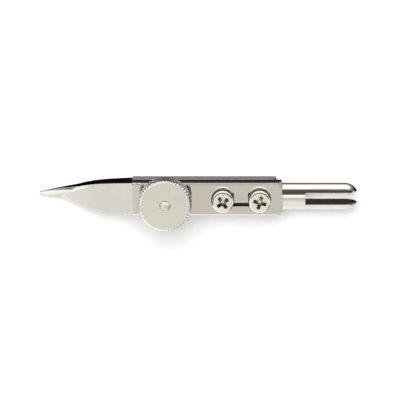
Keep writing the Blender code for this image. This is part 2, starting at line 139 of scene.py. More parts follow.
def lathe(profile, steps=160, ring=False):
    """A solid of revolution about Z. A ring's profile closes on itself."""
    bm = bmesh.new()
    rows = []
    for radius, z in profile:
        count = steps if radius > 1e-6 else 1
        rows.append(
            [
                bm.verts.new(
                    (radius * math.cos(TURN * i / steps), radius * math.sin(TURN * i / steps), z)
                )
                for i in range(count)
            ]
        )
    pairs = list(zip(rows, rows[1:]))
    if ring:
        pairs.append((rows[-1], rows[0]))
    for low, high in pairs:
        for i in range(steps):
            j = (i + 1) % steps
            below = [low[i % len(low)], low[j % len(low)]]
            above = [high[j % len(high)], high[i % len(high)]]
            bm.faces.new(list(dict.fromkeys(below + above)))
    return bm


def block(x_span, y_span, z_span):
    (x0, x1), (y0, y1), (z0, z1) = x_span, y_span, z_span
    outline = [(x0, y0), (x1, y0), (x1, y1), (x0, y1)]
    return stack([(outline, z0), (outline, z1)])


def lay_along_x(bm):
    """Turns a solid of revolution about Z onto the fork's axis."""
    place = Matrix.Translation((0, 0, FORK_AXIS_Z)) @ Matrix.Rotation(math.pi / 2, 4, "Y")
    bmesh.ops.transform(bm, matrix=place, verts=bm.verts)
    return bm


def moved(bm, x=0.0, y=0.0, z=0.0, turn=0.0):
    place = Matrix.Translation((x, y, z)) @ Matrix.Rotation(turn, 4, "Z")
    bmesh.ops.transform(bm, matrix=place, verts=bm.verts)
    return bm


def scratch_object(bm):
    bmesh.ops.recalc_face_normals(bm, faces=bm.faces)
    mesh = bpy.data.meshes.new("scratch")
    bm.to_mesh(mesh)
    bm.free()
    obj = bpy.data.objects.new("scratch", mesh)
    bpy.context.scene.collection.objects.link(obj)
    return obj


def combined(bm, *others, operation="DIFFERENCE"):
    """bm with the other solids taken away, joined or kept in common."""
    target = scratch_object(bm)
    tools = [scratch_object(other) for other in others]
    for tool in tools:
        modifier = target.modifiers.new("combine", "BOOLEAN")
        modifier.operation = operation
        modifier.object = tool
        modifier.solver = "EXACT"
    result = bmesh.new()
    result.from_object(target, bpy.context.evaluated_depsgraph_get())
    for obj in (target, *tools):
        mesh = obj.data
        bpy.data.objects.remove(obj)
        bpy.data.meshes.remove(mesh)
    return result


MERGE_UNDER = 0.0006  # points closer than this are one point
DISSOLVE_UNDER = 0.0004  # edges shorter than this go
FLAT_WEIGHT = 60  # how strongly large flat faces set the shading beside them


def piece(name, bm, mat, body, node, sharp=30.0, other=()):
    """Turns a bmesh into a shown piece that stands for a CAD node and rides on its body.
    other lists (material, test): faces whose centre passes a test take its material."""
    for face in bm.faces:
        for index, (_, test) in enumerate(other):
            if test(face.calc_center_median()):
                face.material_index = index + 1
    bmesh.ops.scale(bm, vec=(MM, MM, MM), verts=bm.verts)
    bmesh.ops.remove_doubles(bm, verts=bm.verts, dist=MERGE_UNDER * MM)
    bmesh.ops.dissolve_degenerate(bm, edges=bm.edges, dist=DISSOLVE_UNDER * MM)
    bmesh.ops.recalc_face_normals(bm, faces=bm.faces)
    mesh = bpy.data.meshes.new(name)
    bm.to_mesh(mesh)
    bm.free()
    mesh.shade_smooth()
    mesh.set_sharp_from_angle(angle=math.radians(sharp))
    for shown in (mat, *(extra for extra, _ in other)):
        mesh.materials.append(shown)
    obj = bpy.data.objects.new(name, mesh)
    bpy.context.scene.collection.objects.link(obj)
    normals = obj.modifiers.new("even flats", "WEIGHTED_NORMAL")
    normals.keep_sharp = True
    normals.weight = FLAT_WEIGHT
    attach(obj, body)
    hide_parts(node)
    return obj


# ---- materials ------------------------------------------------------------
def linear(tone):
    """sRGB 0-255 to a linear colour."""
    return [
        (c / 255 / 12.92) if c <= 10 else ((c / 255 + 0.055) / 1.055) ** 2.4 for c in tone
    ]


def mapped(tree, coords, scale, turn=(0, 0, 0)):
    mapping = tree.nodes.new("ShaderNodeMapping")
    mapping.inputs["Scale"].default_value = scale
    mapping.inputs["Rotation"].default_value = turn
    tree.links.new(coords, mapping.inputs["Vector"])
    return mapping.outputs["Vector"]


def noise(tree, vector, detail, roughness=0.55):
    """Soft noise with a feature size of 1 in the mapped coordinates."""
    node = tree.nodes.new("ShaderNodeTexNoise")
    node.inputs["Scale"].default_value = 1
    node.inputs["Detail"].default_value = detail
    node.inputs["Roughness"].default_value = roughness
    tree.links.new(vector, node.inputs["Vector"])
    return node.outputs["Fac"]


def spread(tree, value, low, high, source=(0.3, 0.7)):
    node = tree.nodes.new("ShaderNodeMapRange")
    node.inputs["From Min"].default_value = source[0]
    node.inputs["From Max"].default_value = source[1]
    node.inputs["To Min"].default_value = low
    node.inputs["To Max"].default_value = high
    tree.links.new(value, node.inputs["Value"])
    return node.outputs["Result"]


LONG_GRAIN = (900, 30000, 30000)  # lines along X
CROSS_GRAIN = (12000, 700, 700)  # lines across X
EVEN_GRAIN = (9000, 9000, 9000)
CLOUD_SCALE = (160, 160, 160)  # of the drift in colour, per metre
PATCH_SCALE = (700, 700, 700)  # of the patches in roughness, per metre
PATCH_TURN = (0.4, 0.2, 0.9)
LINE_SHARE = 0.5  # how much the lines count in the roughness, beside the patches
BOTH_RANGE = (0.55, 0.95)  # of patches plus lines, spread over the range of roughness
MICRON = 1e-6


def metal(name, colour, rough, shade=0.03, grain=LONG_GRAIN, bite=0.0, metallic=1):
    """Plated metal, or with metallic 0 a dull non-metal, which paints the shade in the slot.
    rough is the range of roughness, shade how far the colour drifts, grain the frequency
    of the fine lines along each axis per metre, and bite their depth in microns."""
    mat = bpy.data.materials.new(name)
    mat.use_nodes = True
    tree = mat.node_tree
    shader = tree.nodes["Principled BSDF"]
    shader.inputs["Metallic"].default_value = metallic
    coords = tree.nodes.new("ShaderNodeTexCoord").outputs["Object"]

    cloud = noise(tree, mapped(tree, coords, CLOUD_SCALE), 4)
    tint = tree.nodes.new("ShaderNodeMix")
    tint.data_type = "RGBA"
    tint.inputs["A"].default_value = (*[c * (1 - shade) for c in colour], 1)
    tint.inputs["B"].default_value = (*[min(1, c * (1 + shade)) for c in colour], 1)
    tree.links.new(spread(tree, cloud, 0, 1), tint.inputs["Factor"])
    tree.links.new(tint.outputs["Result"], shader.inputs["Base Color"])

    patches = noise(tree, mapped(tree, coords, PATCH_SCALE, PATCH_TURN), 5, 0.65)
    lines = noise(tree, mapped(tree, coords, grain), 2)
    both = tree.nodes.new("ShaderNodeMath")
    both.operation = "MULTIPLY_ADD"
    both.inputs[1].default_value = LINE_SHARE
    tree.links.new(lines, both.inputs[0])
    tree.links.new(patches, both.inputs[2])
    roughness = spread(tree, both.outputs["Value"], *rough, source=BOTH_RANGE)
    tree.links.new(roughness, shader.inputs["Roughness"])

    if bite:
        bump = tree.nodes.new("ShaderNodeBump")
        bump.inputs["Strength"].default_value = 1
        bump.inputs["Distance"].default_value = bite * MICRON
        tree.links.new(lines, bump.inputs["Height"])
        tree.links.new(bump.outputs["Normal"], shader.inputs["Normal"])
    return mat


NICKEL = (0.80, 0.775, 0.735)
KNOB_NICKEL = (0.945, 0.935, 0.885)
SCREW_NICKEL = (0.98, 0.955, 0.91)
# painted shade: a dark brown tone for the inside of the screws' cross recesses
RECESS_SHADE_TONE = (0.34, 0.27, 0.21)
# painted highlight: a paler white than the nickel, for the housing's end cone
PALE_HIGHLIGHT_NICKEL = (0.97, 0.96, 0.94)
# painted shade: a near black tone for the walls of the face slot
SLOT_SHADE_TONE = (0.030, 0.022, 0.012)
polished = metal("polished nickel", NICKEL, (0.06, 0.12), bite=0.02)
satin_plate = metal("ground nickel", NICKEL, (0.33, 0.40), bite=0.03)
# a turned satin finish whose paler colour is a painted highlight on the end cone
satin_painted_highlight = metal("turned nickel painted highlight", PALE_HIGHLIGHT_NICKEL, (0.5, 0.6), bite=0.03)
# painted shade: a dull near black non-metal on the slot walls stands for the shade inside the slot
slot_painted_shade = metal("slot wall painted shade", SLOT_SHADE_TONE, (0.6, 0.7), shade=0.2, bite=0.05, metallic=0)
slot_painted_shade.node_tree.nodes["Principled BSDF"].inputs["Specular IOR Level"].default_value = 0.05
# painted shade: a dark metal in the knurl's grooves stands for the shade that falls into them
groove_painted_shade = metal("knurl groove painted shade", (0.06, 0.05, 0.045), (0.15, 0.25), shade=0.2)
blade_nickel = metal("blade nickel", NICKEL, (0.03, 0.09), grain=CROSS_GRAIN, bite=0.02)
fork_nickel = metal("fork nickel", NICKEL, (0.03, 0.08), bite=0.02)
knob_nickel = metal("knob nickel", KNOB_NICKEL, (0.05, 0.1), grain=EVEN_GRAIN, bite=0.03)
screw_nickel = metal("screw nickel", SCREW_NICKEL, (0.05, 0.12), grain=EVEN_GRAIN, bite=0.03)
# painted shade: a rougher metal in the dark brown tone stands for the shade inside the cross
# recesses
recess_painted_shade = metal("recess painted shade", RECESS_SHADE_TONE, (0.3, 0.45), shade=0.2, bite=0.05)
stud_steel = metal("machined steel", (0.74, 0.72, 0.67), (0.06, 0.16), bite=0.03)
spring_steel = metal("spring steel", (0.13, 0.11, 0.10), (0.06, 0.12), bite=0.03)
bronze = metal("spring bronze", (0.72, 0.49, 0.28), (0.25, 0.4), bite=0.05)

# ---- handle ---------------------------------------------------------------
FORK_AXIS_Z = (FORK_LOW.z + FORK_HIGH.z) / 2
END_CONE_RADIUS = 5.3
END_CONE_SLOPE = 1.3
EDGE_BEVEL = 0.5
SEAM_BEVEL = 0.08


def bar_section(x, half, low, high, bevels, radius):
    """A bar's section at x: (bottom, top) bevels at 45 degrees, with rounded corners."""
    bottom, top = bevels
    corners = [
        (half - bottom, low, radius * 0.3),
        (half, low + bottom, radius * 0.3),
        (half, high - top, radius),
        (half - top, high, radius),
    ]
    corners += [(-y, z, r) for y, z, r in reversed(corners)]
    return [(x, y, z) for y, z in rounded(corners, 3)]


def channel(low, high):
    past_ends = (HOUSING_LOW.x - 2, HOUSING_HIGH.x + 2)
    return block(past_ends, (-CHANNEL_HALF, CHANNEL_HALF), (low, high))


def end_cone():
    wide, over = 9, 0.5
    end = HOUSING_HIGH.x
    profile = [
        (0, HOUSING_LOW.x - over),
        (wide, HOUSING_LOW.x - over),
        (wide, end - (wide - END_CONE_RADIUS) * END_CONE_SLOPE),
        (END_CONE_RADIUS - over / END_CONE_SLOPE, end + over),
        (0, end + over),
    ]
    return lay_along_x(lathe(profile, 256))


def make_housing():
    x0, x1 = HOUSING_LOW.x, HOUSING_HIGH.x
    soft, drop, nip = 0.8, 0.13, 0.04
    bevels, turned = (SEAM_BEVEL, EDGE_BEVEL), 0.12
    # (x, how much smaller all round, fall of the face)
    places = [
        (x0, nip, drop),
        (x0 + nip, 0, drop),
        (x0 + 1.0, 0, 0.05),
        (x0 + 1.9, 0, 0.01),
        (x0 + 2.5, 0, 0),
        (x1 - soft - 0.15, 0, 0),
        (x1 - soft, 0, 0.01),
        (x1 - soft + 0.15, 0, 0.03),
        (x1 - nip, 0, drop),
        (x1, nip, drop),
    ]
    bar = loft(
        [
            bar_section(x, HALF_WIDTH - less, SEAM + less, FACE - fall - less, bevels, turned)
            for x, less, fall in places
        ]
    )
    bar = combined(bar, end_cone(), operation="INTERSECT")
    rim = 0.06
    ends = (SCREW_X["left"], SCREW_X["right"])
    outline = obround(*ends, FACE_SLOT_HALF)
    slot = stack([(outline, CHANNEL_HIGH - 1), (outline, FACE + 1)])
    place = (KNOB_X, 0)
    hole = stack(
        [
            (disc(place, STUD_HOLE), CHANNEL_HIGH - 1),
            (disc(place, STUD_HOLE), FACE - rim),
            (disc(place, STUD_HOLE + 2 * rim), FACE + rim),
        ]
    )
    bar = combined(bar, channel(SEAM - 1, CHANNEL_HIGH), slot, hole)

    # the walls of the face slot, which take the painted shade
    def in_shaded_slot(point):
        near = abs(point.y) < FACE_SLOT_HALF + 0.02 and ends[0] - 2.2 < point.x < ends[1] + 2.2
        return near and CHANNEL_HIGH - 0.1 < point.z < FACE - 0.02

    # the end cone's facets, which take the satin with a painted highlight
    def on_highlight_cone(point):
        radius = math.hypot(point.y, point.z - FORK_AXIS_Z)
        slant = radius - END_CONE_RADIUS - (x1 - point.x) / END_CONE_SLOPE
        return abs(slant) < 0.05 and point.x > x1 - 2

    piece(
        "handle_front",
        bar,
        polished,
        "handle",
        "front_housing",
        other=[(slot_painted_shade, in_shaded_slot), (satin_painted_highlight, on_highlight_cone)],
    )


STUD_BORE = 1.55
STUD_FOOT_BORE = 2.5
STUD_FOOT_DEPTH = 1.1
SPRING_POCKET = ((-17.7, -12.3), (-2.2, 2.2), (1.55, 3))


def make_plate():
    x0, x1 = PLATE_LOW.x, PLATE_HIGH.x
    low, high = PLATE_LOW.z, PLATE_HIGH.z
    corner = 0.6

    def outline(inset):
        y = PLATE_HIGH.y - inset
        corners = [
            (x0 + inset, -y, 0.05),
            (x1 - inset, -y, corner),
            (x1 - inset, y, corner),
            (x0 + inset, y, 0.05),
        ]
        return rounded(corners, 10)

    bar = stack(
        [
            (outline(0.3), low),
            (outline(0.22), low + 0.05),
            (outline(0.05), low + 0.22),
            (outline(0), low + 0.32),
            (outline(0.12), high - SEAM_BEVEL),
            (outline(0.12 + SEAM_BEVEL), high),
        ]
    )
    cuts = [channel(CHANNEL_LOW, high + 1)]
    for radius, top in ((STUD_BORE, 3), (STUD_FOOT_BORE, STUD_FOOT_DEPTH)):
        hole = disc((KNOB_X, 0), radius)
        cuts.append(stack([(hole, -1), (hole, top)]))
    for x in SCREW_X.values():
        mouth, hole = disc((x, 0), 2.3), disc((x, 0), 2.0)
        cuts.append(stack([(mouth, -0.3), (hole, 0.15), (hole, 3)]))
    cuts.append(block(*SPRING_POCKET))
    bar = combined(bar, *cuts)
    piece("handle_back", bar, satin_plate, "handle", "back_plate")


make_housing()
make_plate()

# ---- spike blade ----------------------------------------------------------
BLADE_BASE = 0.1
BLADE_TIP_RADIUS = 0.55
# (x, middle of its width along Y, half-width, top height), from root to tip
BLADE_PLACES = [
    (-19.55, 0.00, 4.90, 8.10),
    (-26.40, 0.00, 4.50, 6.95),
    (-30.30, 0.02, 4.10, 6.10),
    (-33.20, 0.12, 3.50, 5.35),
    (-36.20, 0.34, 2.55, 4.45),
    (-39.60, 0.58, 1.65, 3.35),
    (-41.30, 0.58, 1.28, 2.70),
    (-43.00, 0.44, 1.08, 2.25),
    (-46.50, 0.08, 0.60, 1.30),
    (-47.649, 0.03, 0.46, 1.02),
]
BLADE_ROOT = BLADE_PLACES[0][0]
BLADE_TIP = BLADE_PLACES[-1][0]
VERTEX_X = -39.8  # where the flat facet ends in a rounded V
FACET_TURN = 0.075  # how much steeper the spike's ridge falls than the facet
SIDE_LEAN = 0.0175  # how much the sides draw in towards the back, per mm of height
# (x, fall of its top away from its ridge per mm squared, offset of the ridge towards
# -Y, fall of its top towards +Y per mm)
CROWNS = [
    (-19.55, 0.004, 1.50, 0.0),
    (-30.00, 0.010, 1.50, 0.0),
    (-32.00, 0.018, 1.50, 0.0),
    (-34.00, 0.030, 1.30, 0.0),
    (-36.20, 0.045, 1.00, 0.0),
    (-38.00, 0.080, 0.70, 0.0),
    (-40.00, 0.110, 0.25, 0.04),
    (-41.50, 0.100, 0.15, 0.14),
    (-43.50, 0.080, 0.05, 0.21),
    (-46.50, 0.080, 0.00, 0.22),
    (-47.649, 0.120, 0.00, 0.20),
]


def smooth_value(points, x):
    """Value at x of a smooth curve through (x, value) points, in falling x."""
    last = len(points) - 2
    i = next((k for k in range(last) if x >= points[k + 1][0]), last)
    (xa, a), (xb, b) = points[i], points[i + 1]
    before = points[max(i - 1, 0)]
    after = points[min(i + 2, len(points) - 1)]
    step = xb - xa
    slope_a = (b - before[1]) / (xb - before[0]) * step
    slope_b = (after[1] - a) / (after[0] - xa) * step
    t = (x - xa) / step
    return (
        (2 * t**3 - 3 * t**2 + 1) * a
        + (t**3 - 2 * t**2 + t) * slope_a
        + (3 * t**2 - 2 * t**3) * b
        + (t**3 - t**2) * slope_b
    )


def blade_section(x):
    shift, half, ridge = [
        smooth_value([(place[0], place[column]) for place in BLADE_PLACES], x)
        for column in (1, 2, 3)
    ]
    crown, offset, tilt = [
        smooth_value([(place[0], place[column]) for place in CROWNS], x) for column in (1, 2, 3)
    ]
    inward = 1 - (x - BLADE_TIP) / BLADE_TIP_RADIUS
    shrink = math.sqrt(max(1 - max(inward, 0) ** 2, 0.004))
    middle = (ridge + BLADE_BASE) / 2
    rise = FACET_TURN * max(0, x - VERTEX_X)

    def top(y):
        fall = crown * (y - shift + offset) ** 2 + tilt * (y - shift + half * 0.5)
        z = min(ridge, ridge + rise - fall)
        return max(z, BLADE_BASE + 0.35 * (ridge - BLADE_BASE))

    edge, back = 0.12 * half / (half + 0.3), min(0.14, 0.2 * half)
    steps = 44
    crest = [half - edge - (2 * half - edge - back) * i / steps for i in range(steps + 1)]
    points = [(shift + y, top(shift + y)) for y in crest]
    corner = math.pi / 2
    low = 0.1 * half / (half + 0.3)
    left, right = shift - half, shift + half
    z_left, z_right = points[-1][1] - back, points[0][1] - edge
    points += [
        (left + back - back * math.sin(corner * i / 4), z_left + back * math.cos(corner * i / 4))
        for i in range(1, 5)
    ]
    lean = SIDE_LEAN * (z_right - BLADE_BASE)
    points += [(left + lean, BLADE_BASE + low), (left + lean + low, BLADE_BASE)]
    points += [(right - lean - low, BLADE_BASE), (right - lean, BLADE_BASE + low)]
    points += [
        (right - edge + edge * math.cos(corner * i / 4), z_right + edge * math.sin(corner * i / 4))
        for i in range(4)
    ]
    return [(x, shift + (y - shift) * shrink, middle + (z - middle) * shrink) for y, z in points]


def make_blade():
    dome = BLADE_TIP + BLADE_TIP_RADIUS
    steps = 150
    stations = [BLADE_ROOT + (dome - BLADE_ROOT) * i / steps for i in range(steps)]
    stations += [dome - BLADE_TIP_RADIUS * math.sin(i / 10 * math.pi / 2) for i in range(11)]
    blade = loft([blade_section(x) for x in stations])
    half = CHANNEL_HALF - 0.05
    tang = block(
        (BLADE_ROOT - 2, BLADE_HIGH.x), (-half, half), (CHANNEL_LOW + 0.05, CHANNEL_HIGH - 0.05)
    )
    blade = combined(blade, tang, operation="UNION")
    outline = obround(KNOB_X, KNOB_X + 8, STUD_HOLE)
    blade = combined(blade, stack([(outline, 0), (outline, FACE)]))
    piece("spike", blade, blade_nickel, "blade", "spike_blade")


make_blade()

# ---- fork -----------------------------------------------------------------
ROD_RADIUS = FORK_HIGH.y
TINE_INNER = 1.7
TINE_EDGE = 0.13  # radius of the long edges beside the slit
SCREW_PASSAGE = 2.05
SLOT_START = 32.1
NOSE_START = 43.9
NOSE_LENGTH = 4.2
ROD_START = HOUSING_HIGH.x + 0.05


def tine_section(x, radius, corner):
    """A D-shaped section of the +Y tine, rounded where its flat meets the round."""
    reach = math.sqrt(max(radius**2 - TINE_INNER**2, 1e-6))
    corner = min(corner, 0.45 * reach, 0.45 * (radius - TINE_INNER))
    # centre of the rounding that touches the flat and the round from inside
    yc = TINE_INNER + corner
    zc = math.sqrt(max((radius - corner) ** 2 - yc**2, 0))
    meet = math.atan2(zc, yc)
    steps, few = 40, 5
    points = [
        (radius * math.cos(a), radius * math.sin(a))
        for a in [-meet + 2 * meet * i / steps for i in range(steps + 1)]
    ]
    up = [
        (yc + corner * math.cos(a), zc + corner * math.sin(a))
        for a in [meet + (math.pi - meet) * i / few for i in range(1, few + 1)]
    ]
    down = [(y, -z) for y, z in reversed(up)]
    return [(x, y, FORK_AXIS_Z + z) for y, z in points + up + down]


def make_fork():
    root = tine_section(SLOT_START, ROD_RADIUS, 0.0001)
    stations = [(SLOT_START, ROD_RADIUS, 0.0001), (SLOT_START + 0.25, ROD_RADIUS, TINE_EDGE)]
    stations += [(38.0, ROD_RADIUS, TINE_EDGE)]
    last = math.acos((TINE_INNER + 0.03) / ROD_RADIUS)
    for i in range(41):
        turn = last * i / 40
        radius = ROD_RADIUS * math.cos(turn)
        stations.append((NOSE_START + NOSE_LENGTH * math.sin(turn), radius, TINE_EDGE))
    tines = [tine_section(*s) for s in stations]
    bm = loft(tines, (False, True))
    other = loft([[(x, -y, z) for x, y, z in ring] for ring in tines], (False, True))
    # the rod between the shoulder and the slot: the tines' own arcs joined over the slot
    reach = root[40][2] - FORK_AXIS_Z
    side = math.atan2(reach, root[40][1])
    bridge = [
        (ROD_RADIUS * math.cos(a), ROD_RADIUS * math.sin(a))
        for a in [side + (math.pi - 2 * side) * i / 24 for i in range(1, 24)]
    ]
    right_arc = [(y, z - FORK_AXIS_Z) for _, y, z in root[:41]]
    left_arc = [(-y, -z) for y, z in right_arc]
    outline = right_arc + bridge + left_arc + [(-y, -z) for y, z in bridge]
    chamfer = 0.18
    rod = loft(
        [
            [(x, y * s, FORK_AXIS_Z + z * s) for y, z in outline]
            for x, s in (
                (ROD_START, 1 - chamfer / ROD_RADIUS),
                (ROD_START + chamfer, 1),
                (SLOT_START, 1),
            )
        ],
        (True, False),
    )
    for part in (other, rod):
        mesh = bpy.data.meshes.new("part")
        part.to_mesh(mesh)
        part.free()
        bm.from_mesh(mesh)
        bpy.data.meshes.remove(mesh)
    bmesh.ops.remove_doubles(bm, verts=bm.verts, dist=MERGE_UNDER)
    open_edges = [e for e in bm.edges if len(e.link_faces) == 1]
    bmesh.ops.holes_fill(bm, edges=open_edges, sides=0)
    half = CHANNEL_HALF - 0.05
    low, high, bevel = CHANNEL_LOW + 0.05, CHANNEL_HIGH - 0.05, 0.25
    corners = [(-half, low), (half, low), (half, high), (-half, high)]
    outline = rounded([(y, z, bevel) for y, z in corners], 5)
    shank = loft([[(x, y, z) for y, z in outline] for x in (FORK_LOW.x, ROD_START + 0.3)])
    bm = combined(bm, shank, operation="UNION")
    passages = [disc((x, 0), SCREW_PASSAGE) for x in SCREW_X.values()]
    bm = combined(bm, *[stack([(outline, 0), (outline, FACE)]) for outline in passages])
    piece("fork_rod", bm, fork_nickel, "handle", "fork", sharp=18)


make_fork()

# ---- thumb nut ------------------------------------------------------------
KNURLS = 50
KNURL_CELLS = 10  # mesh columns in one knurl
KNURL_DEPTH = 0.34
KNURL_FLANK = 0.85  # share of a knurl that slopes, the rest being its flat tip
GROOVE_SHARE = 0.5  # the lower part of the flanks, which carries painted shade
KNURL_STRETCH = 1.73  # its diamonds are longer along the knob's axis: a 30 degree helix
KNOB_RADIUS = KNOB_HIGH.y
KNOB_TOP = KNOB_HIGH.z
KNOB_FACE_RADIUS = 7.25
KNOB_BASE = 11.2
KNOB_CHAMFER = 0.6  # height of the chamfers above and below the knurl


def knurl_height(u, v):
    """Height of a diamond knurl, 0 in its grooves and 1 on its flattened tips."""
    a, b = u + v, u - v
    far = max(abs(a - round(a)), abs(b - round(b)))
    return min(1, (1 - 2 * far) / KNURL_FLANK)


def make_knob():
    bm = bmesh.new()
    columns = KNURLS * KNURL_CELLS
    height = KNOB_TOP - KNOB_BASE
    rows = round(height / (TURN * KNOB_RADIUS / columns))
    narrowing = KNOB_RADIUS - KNOB_FACE_RADIUS

    def rim(z):
        """Radius over the knurl's tips at a height."""
        from_end = min(z - KNOB_BASE, KNOB_TOP - z)
        return KNOB_RADIUS - narrowing * max(0, 1 - from_end / KNOB_CHAMFER)

    def ring(radius, z):
        return [
            bm.verts.new(
                (radius * math.cos(TURN * i / columns), radius * math.sin(TURN * i / columns), z)
            )
            for i in range(columns)
        ]

    band = []
    for j in range(rows + 1):
        z = KNOB_BASE + height * j / rows
        depth = KNURL_DEPTH * min(1, (KNOB_TOP - z) / 0.3)
        row = []
        for i in range(columns):
            rise = depth * (knurl_height(i / KNURL_CELLS, j / KNURL_CELLS / KNURL_STRETCH) - 1)
            radius = rim(z) + rise
            angle = TURN * i / columns
            row.append(bm.verts.new((radius * math.cos(angle), radius * math.sin(angle), z)))
        band.append(row)
    for j in range(rows):
        for i in range(columns):
            k = (i + 1) % columns
            a, b, c, d = band[j][i], band[j][k], band[j + 1][k], band[j + 1][i]
            u, v = (i + 0.5) / KNURL_CELLS, (j + 0.5) / KNURL_CELLS / KNURL_STRETCH
            far_a, far_b = abs(u + v - round(u + v)), abs(u - v - round(u - v))
            if far_a > far_b:
                bm.faces.new((a, b, d))
                bm.faces.new((b, c, d))
            else:
                bm.faces.new((a, b, c))
                bm.faces.new((a, c, d))
    low = KNOB_LOW.z
    chain = [
        band[-1],
        ring(KNOB_FACE_RADIUS - 0.05, KNOB_TOP),
        ring(1.68, KNOB_TOP),
        ring(1.54, KNOB_TOP - 0.45),
        ring(1.54, low),
        ring(3.9, low),
        ring(4.0, low + 0.1),
        ring(4.0, KNOB_BASE - 0.15),
        ring(4.15, KNOB_BASE),
        band[0],
    ]
    for lower, upper in zip(chain, chain[1:]):
        for i in range(columns):
            j = (i + 1) % columns
            bm.faces.new((lower[i], lower[j], upper[j], upper[i]))
    moved(bm, KNOB_X)

    # the lower flanks of the grooves take the painted shade
    def in_shaded_groove(point):
        radius = math.hypot(point.x - KNOB_X, point.y)
        on_wall = radius > 6 and KNOB_BASE + 0.1 < point.z < KNOB_TOP - KNOB_CHAMFER
        return on_wall and rim(point.z) - radius > GROOVE_SHARE * KNURL_DEPTH

    piece(
        "knob",
        bm,
        knob_nickel,
        "nut",
        "thumb_nut",
        sharp=20,
        other=[(groove_painted_shade, in_shaded_groove)],
    )


def make_stud():
    """The stud, with a real M3 thread above its foot."""
    pitch, depth, steps = 0.5, 0.3, 72
    radius = (STUD_HIGH.y - STUD_LOW.y) / 2
    foot_top, top = STUD_LOW.z + 0.95, STUD_HIGH.z
    rod = 1.5
    bm = bmesh.new()

    def ring(r, z):
        return [
            bm.verts.new((r * math.cos(TURN * i / steps), r * math.sin(TURN * i / steps), z))
            for i in range(steps)
        ]

    rows = [ring(radius, STUD_LOW.z), ring(radius, foot_top), ring(rod, foot_top), ring(rod, 6.0)]
    dome = math.radians(20)  # slope of the rounded end where it meets the thread
    lean = 0.1  # how much the end falls per mm towards -X and +Y
    end_radius = 1.47
    ball = end_radius / math.sin(dome)
    peak = top - 0.03
    shoulder = peak - ball * (1 - math.cos(dome)) - 2 * lean * end_radius - 0.1
    count = round((shoulder - 6.2) / (pitch / 8))
    for j in range(count + 1):
        z = 6.2 + (shoulder - 6.2) * j / count
        limit = rod - max(0, 0.1 - (shoulder - z))
        row = []
        for i in range(steps):
            phase = (z / pitch - i / steps) % 1
            cut = depth * max(0, 1 - abs(2 * phase - 1) * 1.25)
            r = min(rod - cut, limit)
            row.append(
                bm.verts.new((r * math.cos(TURN * i / steps), r * math.sin(TURN * i / steps), z))
            )
        rows.append(row)
    for i in range(12):
        slope = dome * (1 - i / 12)
        rows.append(ring(ball * math.sin(slope), peak - ball * (1 - math.cos(slope))))
        for vert in rows[-1]:
            vert.co.z -= lean * ((vert.co.y - vert.co.x) / math.sqrt(2) + end_radius)
    for lower, upper in zip(rows, rows[1:]):
        for i in range(steps):
            j = (i + 1) % steps
            bm.faces.new((lower[i], lower[j], upper[j], upper[i]))
    bm.faces.new(rows[0])
    bm.faces.new(rows[-1])
    moved(bm, KNOB_X)
    piece("knob_stud", bm, stud_steel, "handle", "clamp_stud", sharp=25)


def make_washer():
    low, high = WASHER_LOW.z, WASHER_HIGH.z
    outer = WASHER_HIGH.y
    profile = rounded(
        [(1.65, low, 0.06), (outer, low, 0.06), (outer, high, 0.14), (1.65, high, 0.06)], 5
    )
    bm = moved(lathe(profile, ring=True), KNOB_X)
    piece("knob_washer", bm, stud_steel, "washer", "swivel_washer")


make_knob()
make_stud()
make_washer()

# ---- screws ---------------------------------------------------------------
SCREW_TURNS = {"left": math.radians(36), "right": math.radians(-16)}
RECESS_DEPTH = 1.6
SHANK = 1.95
SHANK_POINT = 0.4  # chamfer on the screw's end
CHAMFER_SLOPE = math.radians(31)


def plus_outline(span, width, inner, outer):
    """A cross with arms span long overall and width wide, and rounded corners."""
    s, w = span / 2, width / 2
    arm = [(w, w, inner), (s, w, outer), (s, -w, outer)]
    corners = []
    for k in range(4):
        c, n = math.cos(-k * math.pi / 2), math.sin(-k * math.pi / 2)
        corners += [(x * c - y * n, x * n + y * c, r) for x, y, r in arm]
    return rounded(corners, 3)


def make_screw(side):
    low, high = mm_box(f"{side}_screw")
    head = (high.y - low.y) / 2
    x = SCREW_X[side]
    top = high.z
    base = mm_box(f"{side}_lock_washer")[1].z + 0.05
    shoulder = top - 0.15
    points = [
        (0, low.z),
        (SHANK - SHANK_POINT, low.z),
        (SHANK, low.z + SHANK_POINT),
        (SHANK, base),
        (head - 0.1, base),
        (head, base + 0.1),
    ]
    edge, chamfer = 0.12, 0.3
    fall = chamfer * math.tan(CHAMFER_SLOPE)
    points += arc((head - edge, shoulder - fall - edge), edge, 0, math.pi / 2 - CHAMFER_SLOPE, 6)
    points.append((head - chamfer, shoulder))
    flat, z = points[-1]
    rings = 12
    points += [
        (flat * (1 - i / rings), z + (top - z) * (1 - (1 - i / rings) ** 2))
        for i in range(1, rings + 1)
    ]
    body = lathe(points)
    cross = stack(
        [
            (plus_outline(0.8, 0.5, 0.05, 0.1), -RECESS_DEPTH - 0.04),
            (plus_outline(2.0, 0.84, 0.08, 0.16), -RECESS_DEPTH),
            (plus_outline(4.0, 1.08, 0.2, 0.3), -0.12),
            (plus_outline(4.26, 1.18, 0.26, 0.34), 0.15),
        ]
    )
    body = combined(moved(body, x), moved(cross, x, 0, top, SCREW_TURNS[side]))

    # the inside of the cross recess, which takes the painted shade
    def in_shaded_recess(point):
        radius = math.hypot(point.x - x, point.y)
        return top - RECESS_DEPTH - 0.03 < point.z < top - 0.22 and radius < 2.4

    piece(
        f"screw_{side}",
        body,
        screw_nickel,
        "handle",
        f"{side}_screw",
        other=[(recess_painted_shade, in_shaded_recess)],
    )


